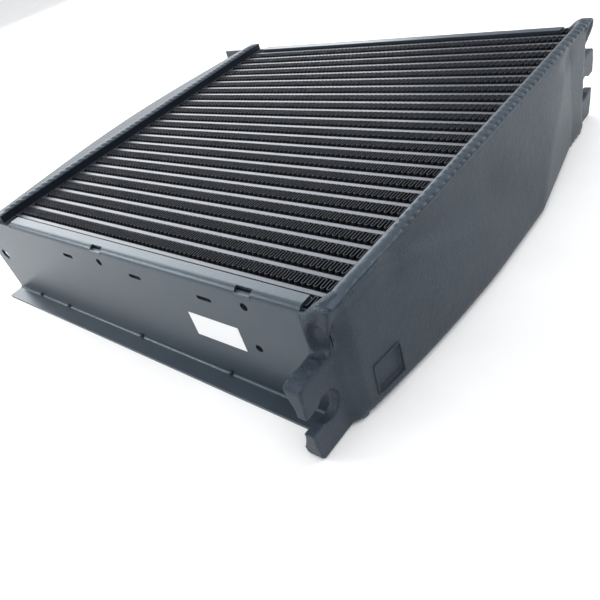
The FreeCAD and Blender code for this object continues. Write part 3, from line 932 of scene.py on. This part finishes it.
def foot_strip(name, node):
    """Chamfered strip in place of its CAD node, its ends inside the tank's corners."""
    low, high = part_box(node)
    x0, x1 = (low.x - CORE_X) / MM, (high.x - CORE_X) / MM
    z0, z1 = low.z / MM, high.z / MM
    cut = STRIP_CHAMFER
    rings = []
    for y in (low.y / MM + STRIP_COVER, high.y / MM - STRIP_COVER):
        rings.append([at(x0 + cut, y, z0), at(x1 - cut, y, z0), at(x1, y, z0 + cut), at(x1, y, z1 - cut),
                      at(x1 - cut, y, z1), at(x0 + cut, y, z1), at(x0, y, z1 - cut), at(x0, y, z0 + cut)])
    obj = add_piece(name, mesh_from(name, *ring_loft(rings)), SHEET, [node])
    obj.data.shade_flat()


def tack_weld(name, x, side, size):
    """Small lump in the fold between web and lower flange."""
    build = bmesh.new()
    bmesh.ops.create_icosphere(build, subdivisions=3, radius=1.0)
    lumps = [(RNG.uniform(-1, 1), RNG.uniform(-1, 1), RNG.uniform(-1, 1)) for _ in range(TACK_LUMPS)]
    for vertex in build.verts:
        swell = 1 + TACK_SWELL * sum(max(0.0, vertex.co.dot(Vector(lump))) for lump in lumps) / len(lumps)
        local = vertex.co * swell
        vertex.co = at(x + local.x * size, side * (PLATE_FACE + TACK_OUT + local.y * size),
                       TACK_LEVEL + local.z * size * TACK_FLATNESS)
    mesh = bpy.data.meshes.new(name)
    build.to_mesh(mesh)
    build.free()
    add_piece(name, mesh, SEAM)


# Stage

def floor():
    """Pale floor."""
    half = FLOOR_SIZE / 2
    mesh = mesh_from("floor", [(-half, -half, 0), (half, -half, 0), (half, half, 0), (-half, half, 0)],
                     [(0, 1, 2, 3)])
    obj = bpy.data.objects.new("floor", mesh)
    bpy.context.scene.collection.objects.link(obj)
    paint = Nodes("floor_paint")
    grain = paint.noise(60.0, 2.0)
    paint.set("Base Color", paint.ramp(grain, [(0.3, (0.86, 0.86, 0.86)), (0.7, (0.90, 0.90, 0.90))]))
    paint.set("Roughness", 0.9)
    mesh.materials.append(paint.material)


def sky():
    """Surroundings that go from pale grey at the horizon to white overhead."""
    world = bpy.data.worlds.new("studio")
    bpy.context.scene.world = world
    world.use_nodes = True
    tree = world.node_tree
    direction = tree.nodes.new("ShaderNodeTexCoord").outputs["Generated"]
    split = tree.nodes.new("ShaderNodeSeparateXYZ")
    tree.links.new(direction, split.inputs["Vector"])
    background = tree.nodes["Background"]
    tree.links.new(colour_ramp(tree, split.outputs["Z"], SKY_STOPS), background.inputs["Color"])
    background.inputs["Strength"].default_value = SKY_STRENGTH


def soft_box(name, place, aim, width, height, energy):
    """Rectangular light that points at a place."""
    light = bpy.data.lights.new(name, "AREA")
    light.shape = "RECTANGLE"
    light.size = width
    light.size_y = height
    light.energy = energy
    obj = bpy.data.objects.new(name, light)
    bpy.context.scene.collection.objects.link(obj)
    obj.location = place
    obj.rotation_euler = (Vector(aim) - Vector(place)).to_track_quat("-Z", "Y").to_euler()


def camera():
    """Camera where the photograph was taken from."""
    data = bpy.data.cameras.new("camera")
    data.lens = CAMERA_LENS
    data.sensor_width = CAMERA_SENSOR
    data.shift_x, data.shift_y = CAMERA_SHIFT
    data.clip_start, data.clip_end = CAMERA_CLIPS
    obj = bpy.data.objects.new("camera", data)
    bpy.context.scene.collection.objects.link(obj)
    forward = Vector(CAMERA_FORWARD).normalized()
    right = forward.cross(Vector(CAMERA_UP)).normalized()
    up = right.cross(forward)
    turn = Matrix((right, up, -forward)).transposed()
    obj.matrix_world = Matrix.Translation(at(*CAMERA_PLACE)) @ turn.to_4x4()
    bpy.context.scene.camera = obj


def main():
    """Looks of the CAD nodes, the pieces that replace or join them, and the stage."""
    dress_nodes()
    for number in range(1, FIN_COUNT + 1):
        fin_row(number)
    right_tank()
    bare_pad()
    for side, word in ((1, "right"), (-1, "left")):
        seam_bead(word + "_upper_bead", word + "_upper_seam_weld", side, 1, flat=1.0 if side > 0 else 0.0)
        seam_bead(word + "_lower_bead", word + "_lower_seam_weld", side, -1, width=LOWER_BEAD_WIDTH,
                  cover=LOWER_BEAD_COVER)
    foot_strip("right_foot_strip", "right_lower_header_strip")
    for side, word in ((-1, "front"), (1, "rear")):
        for number, x in enumerate(TACK_PLACES, start=1):
            tack_weld("{}_tack_weld_{}".format(word, number), x, side, RNG.uniform(*TACK_SIZES))
    floor()
    sky()
    for box in SOFT_BOXES:
        soft_box(*box)
    camera()
    bpy.context.scene.view_settings.view_transform = "Standard"


main()
